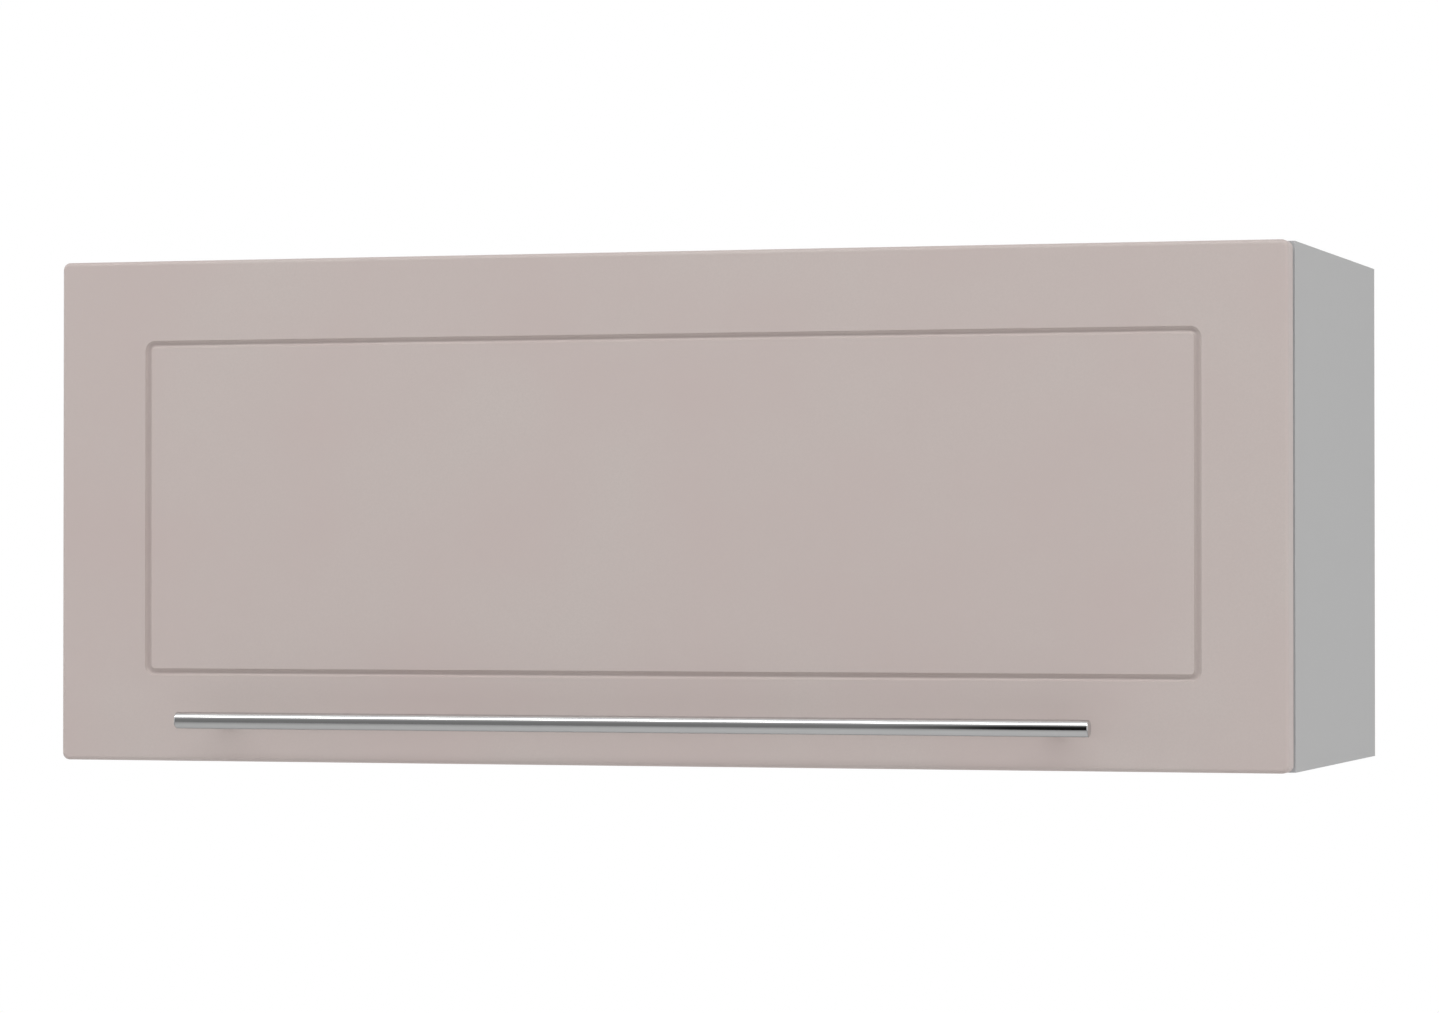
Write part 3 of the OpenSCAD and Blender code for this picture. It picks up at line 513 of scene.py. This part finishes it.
@dataclass(frozen=True)
class MouldedFinish(Finish):
    """Moulded plastic with the fine eroded texture of its tool.

    Attributes:
        specular: The strength of its gloss.
        glow: How much of the light goes through its skin.
        glow_mm: How far that light travels inside.
    """

    specular: float = 0.45
    glow: float = 0.05
    glow_mm: float = 2.0

    def material(self) -> bpy.types.Material:
        """Builds the plastic.

        Returns:
            The material.
        """
        shading = self.start()
        reach = self.glow_mm * MILLIMETRE
        shading.fix(
            {
                "Specular IOR Level": self.specular,
                "Subsurface Weight": self.glow,
                "Subsurface Radius": (reach, reach, reach),
            }
        )
        return shading.material


@dataclass(frozen=True)
class ClearBumperFinish(Finish):
    """The soft clear pads that the flap closes on.

    Attributes:
        clearness: How much of the light goes through.
        refraction: The index of refraction of clear rubber.
    """

    clearness: float = 0.6
    refraction: float = 1.46

    def material(self) -> bpy.types.Material:
        """Builds the pads' material.

        Returns:
            The material.
        """
        shading = self.start()
        shading.fix({"Transmission Weight": self.clearness, "IOR": self.refraction})
        return shading.material


FINISHES: dict[Part, Finish] = {
    Part.CARCASS_BOARD: MelamineFinish(
        "grey_melamine",
        colour=(0.64, 0.64, 0.64),
        roughness=0.48,
        spread=0.010,
        speck_mm=0.9,
        relief_mm=0.010,
        edge_mm=0.5,
    ),
    # Painted light: the edge bands' grey is lighter than the boards' grey, so that the shaded gap
    # between the flap and the side panels renders lighter.
    Part.EDGE_BAND: Finish(
        "grey_edge_band_painted_light",
        colour=(0.72, 0.72, 0.725),
        roughness=0.42,
        spread=0.008,
        speck_mm=0.9,
        relief_mm=0.006,
    ),
    Part.BACK_BOARD: Finish(
        "grey_hardboard",
        colour=(0.84, 0.84, 0.83),
        roughness=0.55,
        spread=0.025,
        speck_mm=1.6,
        relief_mm=0.02,
    ),
    Part.BEECH: BeechFinish(
        "dowel_beech",
        colour=(0.80, 0.62, 0.44),
        roughness=0.6,
        spread=0.10,
        speck_mm=0.8,
        relief_mm=0.03,
        run=Run.ALONG_X,
    ),
    Part.ZINC_CASTING: MetalFinish(
        "die_cast_zinc",
        colour=(0.66, 0.67, 0.68),
        roughness=0.45,
        spread=0.05,
        speck_mm=0.7,
        relief_mm=0.02,
    ),
    Part.ZINC_PLATED_STEEL: MetalFinish(
        "zinc_plated_steel",
        colour=(0.70, 0.71, 0.73),
        roughness=0.34,
        spread=0.04,
        speck_mm=0.5,
        relief_mm=0.004,
        run=Run.ALONG_Z,
    ),
    Part.NICKEL_PLATED_STEEL: MetalFinish(
        "nickel_plated_steel",
        colour=(0.78, 0.77, 0.745),
        roughness=0.24,
        spread=0.025,
        speck_mm=0.6,
        relief_mm=0.003,
    ),
    Part.WHITE_PLASTIC: MouldedFinish(
        "white_plastic",
        colour=(0.86, 0.86, 0.85),
        roughness=0.42,
        spread=0.012,
        speck_mm=0.35,
        relief_mm=0.012,
        edge_mm=0.4,
    ),
    Part.GREY_PLASTIC: MouldedFinish(
        "grey_plastic",
        colour=(0.72, 0.73, 0.74),
        roughness=0.40,
        spread=0.012,
        speck_mm=0.35,
        relief_mm=0.012,
        edge_mm=0.4,
    ),
    Part.FLAP_FINISH: MattFilmFinish(
        "matt_cashmere_film",
        colour=(0.740, 0.699, 0.683),
        roughness=0.52,
        spread=0.010,
        speck_mm=1.3,
        relief_mm=0.008,
        edge_mm=0.5,
    ),
    Part.HANDLE_CHROME: MetalFinish(
        "bright_chrome",
        colour=(0.80, 0.80, 0.80),
        roughness=0.05,
        spread=0.004,
        speck_mm=2.0,
        relief_mm=0.0001,
        run=Run.ALONG_X,
        tarnish=0.01,
    ),
    Part.CLEAR_RUBBER: ClearBumperFinish(
        "clear_bumper",
        colour=(0.90, 0.90, 0.88),
        roughness=0.35,
        spread=0.01,
        speck_mm=1.0,
        relief_mm=0.01,
    ),
}


class Wardrobe:
    """Hands out each finish's material, building it once."""

    def __init__(self) -> None:
        """Starts with nothing built."""
        self.built: dict[Part, bpy.types.Material] = {}

    def material(self, part: Part) -> bpy.types.Material:
        """Gives the material of a part's finish.

        Args:
            part: The part.

        Returns:
            Its material.
        """
        if part not in self.built:
            self.built[part] = FINISHES[part].material()
        return self.built[part]


def both(*names: str) -> list[str]:
    """Lists each name with its left and its right ending."""
    return [f"{name}_{side}" for name in names for side in ("left", "right")]


@dataclass
class SubAssembly:
    """A group of the cabinet's CAD pieces, each with the finish that it carries."""

    title: str
    pieces: dict[Part, list[str]]

    def dress(self, nodes: dict[str, bpy.types.Object], wardrobe: Wardrobe) -> dict[str, str]:
        """Puts the finishes on the pieces.

        Args:
            nodes: The frame's CAD nodes by name.
            wardrobe: Where the materials come from.

        Returns:
            The name of each piece's finish, by the piece's name.
        """
        worn: dict[str, str] = {}
        for part, names in self.pieces.items():
            material = wardrobe.material(part)
            for name in names:
                piece = nodes[name]
                for slot in piece.material_slots:
                    slot.material = material
                if not piece.material_slots:
                    piece.data.materials.append(material)
                worn[name] = material.name
        return worn


@dataclass
class Carcass(SubAssembly):
    """The grey boards, their edge bands and the fittings that hold them together."""

    title: str = "carcass"
    pieces: dict[Part, list[str]] = field(
        default_factory=lambda: {
            Part.CARCASS_BOARD: both("side_panel") + ["top_panel", "bottom_panel", "cam_caps"],
            Part.EDGE_BAND: ["front_edge_bands"],
            Part.BACK_BOARD: ["back_panel"],
            Part.BEECH: ["dowels"],
            Part.ZINC_CASTING: ["cam_housings"],
            Part.ZINC_PLATED_STEEL: ["cam_bolts"],
        }
    )


@dataclass
class WallHanging(SubAssembly):
    """The adjustable hangers in the upper rear corners and the plates on the wall."""

    title: str = "wall hanging"
    pieces: dict[Part, list[str]] = field(
        default_factory=lambda: {
            Part.WHITE_PLASTIC: both("hanger_housing", "hanger_cover"),
            Part.ZINC_PLATED_STEEL: both("hanger_hook", "wall_plate") + ["hanger_screws"],
        }
    )


@dataclass
class FlapHinges(SubAssembly):
    """The cup hinges: cups and pins in the flap, goosenecks and plates under the top panel."""

    title: str = "flap hinges"
    pieces: dict[Part, list[str]] = field(
        default_factory=lambda: {
            Part.NICKEL_PLATED_STEEL: both("hinge_plate", "hinge_arm", "hinge_cup"),
            Part.ZINC_PLATED_STEEL: [
                "hinge_plate_screws",
                "hinge_arm_screws",
                "hinge_pins",
                "hinge_cup_screws",
            ],
        }
    )


@dataclass
class LiftStays(SubAssembly):
    """The spring housings on the side panels with their arms, links and flap brackets."""

    title: str = "lift stays"
    pieces: dict[Part, list[str]] = field(
        default_factory=lambda: {
            Part.WHITE_PLASTIC: both("stay_housing"),
            Part.GREY_PLASTIC: both("stay_cover"),
            Part.ZINC_PLATED_STEEL: [
                *both("lift_arm", "arm_pin", "link_lever", "flap_bracket"),
                "stay_screw_set",
                "stay_tension_screws",
                "stay_shafts",
                "flap_bracket_pins",
                "flap_bracket_screws",
            ],
        }
    )


@dataclass
class Flap(SubAssembly):
    """The milled flap with its bumper pads."""

    title: str = "flap"
    pieces: dict[Part, list[str]] = field(
        default_factory=lambda: {
            Part.FLAP_FINISH: ["flap_panel"],
            Part.CLEAR_RUBBER: ["bumper_pads"],
        }
    )


@dataclass
class BarHandle(SubAssembly):
    """The chrome bar with its end caps, posts and screws."""

    title: str = "bar handle"
    pieces: dict[Part, list[str]] = field(
        default_factory=lambda: {
            Part.HANDLE_CHROME: ["handle_tube", "handle_end_caps", "handle_posts"],
            Part.ZINC_PLATED_STEEL: ["handle_screws"],
        }
    )


def put_in_scene(name: str, data: bpy.types.ID) -> bpy.types.Object:
    """Makes an object of a mesh, a lamp or a camera and links it to the scene.

    Args:
        name: The object's name.
        data: What it is made of.

    Returns:
        The object.
    """
    thing = bpy.data.objects.new(name, data)
    bpy.context.scene.collection.objects.link(thing)
    return thing


@dataclass(frozen=True)
class SoftBox:
    """One large soft lamp.

    Attributes:
        name: The lamp's name.
        place: Where it hangs.
        aim: The point that it faces.
        width: Its width.
        height: Its height.
        watts: Its power.
        mirrored: Whether metal mirrors it.
    """

    name: str
    place: Point
    aim: Point
    width: float
    height: float
    watts: float
    mirrored: bool = False

    def build(self) -> bpy.types.Object:
        """Hangs the lamp.

        Returns:
            The lamp, which the camera doesn't see.
        """
        data = bpy.data.lights.new(self.name, "AREA")
        data.shape = "RECTANGLE"
        data.size, data.size_y = self.width, self.height
        data.energy = self.watts
        lamp = put_in_scene(self.name, data)
        lamp.location = self.place
        towards = Vector(self.aim) - Vector(self.place)
        lamp.rotation_euler = towards.to_track_quat("-Z", "Y").to_euler()
        lamp.visible_camera = False
        lamp.visible_glossy = self.mirrored
        return lamp


@dataclass(frozen=True)
class MirroredCard:
    """A tall card in front of the cabinet that only the metal mirrors.

    Low down it is grey on the left and dark on the right. Higher up it brightens into a soft glow.

    Attributes:
        name: The card's name.
        left: Where it starts along X.
        right: Where it ends along X.
        low: Its lower edge.
        high: Its upper edge.
        y: Where it stands.
        left_shade: How bright it is low down on the left.
        right_shade: How bright it is low down on the right.
        glow: How bright it is at the top.
        turn: Between which places along X the one shade turns into the other.
        fade: Between which heights the shades turn into the glow.
    """

    name: str
    left: float
    right: float
    low: float
    high: float
    y: float
    left_shade: float
    right_shade: float
    glow: float
    turn: Span
    fade: Span

    def material(self) -> bpy.types.Material:
        """Builds the card's material.

        Returns:
            The material, which glows by itself.
        """
        nodes = StudioShading(self.name)
        place = nodes.add("ShaderNodeTexCoord").outputs["Object"]
        axes = nodes.add("ShaderNodeSeparateXYZ", {"Vector": place}).outputs
        low_shade = nodes.ramp(axes["X"], self.turn, self.left_shade, self.right_shade)
        strength = nodes.ramp(axes["Z"], self.fade, low_shade, self.glow)
        glow = nodes.add("ShaderNodeEmission", {"Strength": strength})
        return nodes.show(glow.outputs["Emission"])

    def build(self) -> bpy.types.Object:
        """Stands the card up.

        Returns:
            The card, which gives no light and casts no shadow.
        """
        mesh = bpy.data.meshes.new(self.name)
        corners = [
            (self.left, self.y, self.low),
            (self.right, self.y, self.low),
            (self.right, self.y, self.high),
            (self.left, self.y, self.high),
        ]
        mesh.from_pydata(corners, [], [(0, 1, 2, 3)])
        mesh.materials.append(self.material())
        card = put_in_scene(self.name, mesh)
        card.visible_camera = False
        card.visible_diffuse = False
        card.visible_shadow = False
        card.visible_transmission = False
        return card


@dataclass(frozen=True)
class PaleFloor:
    """The round floor, far below the cabinet.

    Attributes:
        place: Its middle.
        radius: Its radius.
        segments: How many sides it has.
        colour: How light it is where it sends light back up to the cabinet.
        seen: How light the camera sees it.
        seen_fade: Between which radii it fades into the white surroundings.
        mirrored: How light metal mirrors it, in the middle and further out.
        mirror_fade: Between which radii the one turns into the other.
    """

    place: Point = (0.0, -0.6, -1.45)
    radius: float = 4.6
    segments: int = 96
    colour: float = 0.95
    seen: float = 0.90
    seen_fade: Span = (1.0, 2.8)
    mirrored: Span = (0.76, 0.46)
    mirror_fade: Span = (0.3, 2.6)

    def material(self) -> bpy.types.Material:
        """Builds the floor's material.

        Returns:
            The matt material, which fades out for the camera alone.
        """
        nodes = StudioShading("pale_floor")
        path = nodes.add("ShaderNodeLightPath").outputs
        place = nodes.add("ShaderNodeTexCoord").outputs["Object"]
        reach = nodes.add("ShaderNodeVectorMath", {0: place}, operation="LENGTH").outputs["Value"]
        mirrored = nodes.ramp(reach, self.mirror_fade, *self.mirrored)
        shade = nodes.pick(path["Is Glossy Ray"], self.colour, mirrored)
        shade = nodes.pick(path["Is Camera Ray"], shade, self.seen)
        matt = nodes.add("ShaderNodeBsdfDiffuse", {"Color": nodes.grey(shade)}).outputs["BSDF"]
        clear = nodes.add("ShaderNodeBsdfTransparent").outputs["BSDF"]
        far = nodes.ramp(reach, self.seen_fade)
        faded = nodes.calculate("MULTIPLY", far, path["Is Camera Ray"])
        return nodes.show(nodes.mix_shaders(faded, matt, clear))

    def build(self) -> bpy.types.Object:
        """Lays the floor.

        Returns:
            The round floor.
        """
        mesh = bpy.data.meshes.new("floor")
        disc = bmesh.new()
        bmesh.ops.create_circle(disc, cap_ends=True, radius=self.radius, segments=self.segments)
        disc.to_mesh(mesh)
        disc.free()
        mesh.materials.append(self.material())
        floor = put_in_scene("floor", mesh)
        floor.location = self.place
        return floor


@dataclass(frozen=True)
class Surroundings:
    """The world around the cabinet.

    Attributes:
        ambient: How strong its even light on the cabinet is.
        seen_white: How strong the eye, metal and glass see it, where 1 is white.
    """

    ambient: float = 0.32
    seen_white: float = 1.0

    def build(self) -> bpy.types.World:
        """Surrounds the cabinet.

        Returns:
            The world.
        """
        world = bpy.data.worlds.new("white_surroundings")
        bpy.context.scene.world = world
        world.use_nodes = True
        nodes = NodeTree(world.node_tree, empty=True)
        path = nodes.add("ShaderNodeLightPath").outputs
        seen = nodes.calculate("MAXIMUM", path["Is Camera Ray"], path["Is Glossy Ray"])
        seen = nodes.calculate("MAXIMUM", seen, path["Is Transmission Ray"])
        soft, bright = (
            nodes.add("ShaderNodeBackground", {"Color": WHITE, "Strength": strength})
            for strength in (self.ambient, self.seen_white)
        )
        surface = nodes.mix_shaders(seen, soft.outputs["Background"], bright.outputs["Background"])
        nodes.add("ShaderNodeOutputWorld", {"Surface": surface})
        return world


@dataclass(frozen=True)
class Viewpoint:
    """The camera, where the photograph was taken from, as fitted to the edges in it.

    Attributes:
        place: Where it stands.
        turn: How far it is turned to the left, in degrees.
        tilt: How far it looks up, in degrees.
        lens: Its focal length in millimetres.
        sensor: The width of its sensor in millimetres.
        clip: Between which distances it sees.
    """

    place: Point = (1.05173, -3.64992, -0.17562)
    turn: float = 16.8877
    tilt: float = 0.7797
    lens: float = 124.069
    sensor: float = 36.0
    clip: Span = (0.05, 60.0)

    def build(self) -> bpy.types.Object:
        """Sets the camera up and makes it the scene's own.

        Returns:
            The camera.
        """
        data = bpy.data.cameras.new("camera")
        data.sensor_width = self.sensor
        data.lens = self.lens
        data.clip_start, data.clip_end = self.clip
        camera = put_in_scene("camera", data)
        camera.location = self.place
        upwards = math.radians(LEVEL_VIEW + self.tilt)
        camera.rotation_euler = (upwards, 0.0, math.radians(self.turn))
        bpy.context.scene.camera = camera
        return camera


@dataclass(frozen=True)
class Studio:
    """The pale floor, the white surroundings, the lamps, the card for the metal and the camera."""

    floor: PaleFloor = PaleFloor()
    surroundings: Surroundings = Surroundings()
    lamps: tuple[SoftBox, ...] = (
        SoftBox(
            "top_box",
            place=(0.0, -2.25, 2.8),
            aim=(0.0, -0.35, -0.13),
            width=9.0,
            height=0.9,
            watts=135.0,
            mirrored=True,
        ),
        SoftBox(
            "front_box",
            place=(0.2, -4.6, -0.10),
            aim=(0.0, -0.35, -0.16),
            width=5.0,
            height=0.9,
            watts=15.0,
        ),
        SoftBox(
            "side_box",
            place=(4.2, -1.2, 0.3),
            aim=(0.4, -0.2, -0.13),
            width=2.4,
            height=2.0,
            watts=46.5,
        ),
        SoftBox(
            "left_box",
            place=(-4.2, -2.2, -0.1),
            aim=(-0.2, -0.3, -0.16),
            width=2.4,
            height=2.0,
            watts=30.0,
        ),
        SoftBox(
            "rear_box",
            place=(-0.7, 4.4, 0.6),
            aim=(0.0, 0.0, -0.16),
            width=3.0,
            height=2.0,
            watts=60.0,
        ),
    )
    card: MirroredCard = MirroredCard(
        "dark_card",
        left=-3.6,
        right=2.6,
        low=-1.44,
        high=6.2,
        y=-3.4,
        left_shade=0.26,
        right_shade=0.012,
        glow=1.7,
        turn=(-0.68, -0.46),
        fade=(0.3, 5.8),
    )
    viewpoint: Viewpoint = Viewpoint()

    def build(self) -> None:
        """Builds the whole studio and reports each thing in it."""
        for thing in (self.floor, self.surroundings, *self.lamps, self.card, self.viewpoint):
            log.info("studio: %s", thing.build().name)
        bpy.context.scene.view_settings.view_transform = "Standard"


def main() -> None:
    """Dresses the cabinet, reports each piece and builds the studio."""
    logging.basicConfig(level=logging.INFO, format="%(message)s")
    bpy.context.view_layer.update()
    wardrobe = Wardrobe()
    dressed = 0
    for assembly in (Carcass(), WallHanging(), FlapHinges(), LiftStays(), Flap(), BarHandle()):
        for name, finish in assembly.dress(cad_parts, wardrobe).items():
            log.info("%s: %s in %s", assembly.title, name, finish)
            dressed += 1
    log.info("%d of %d CAD pieces dressed", dressed, len(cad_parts))
    Studio().build()


if __name__ == "__main__":
    main()
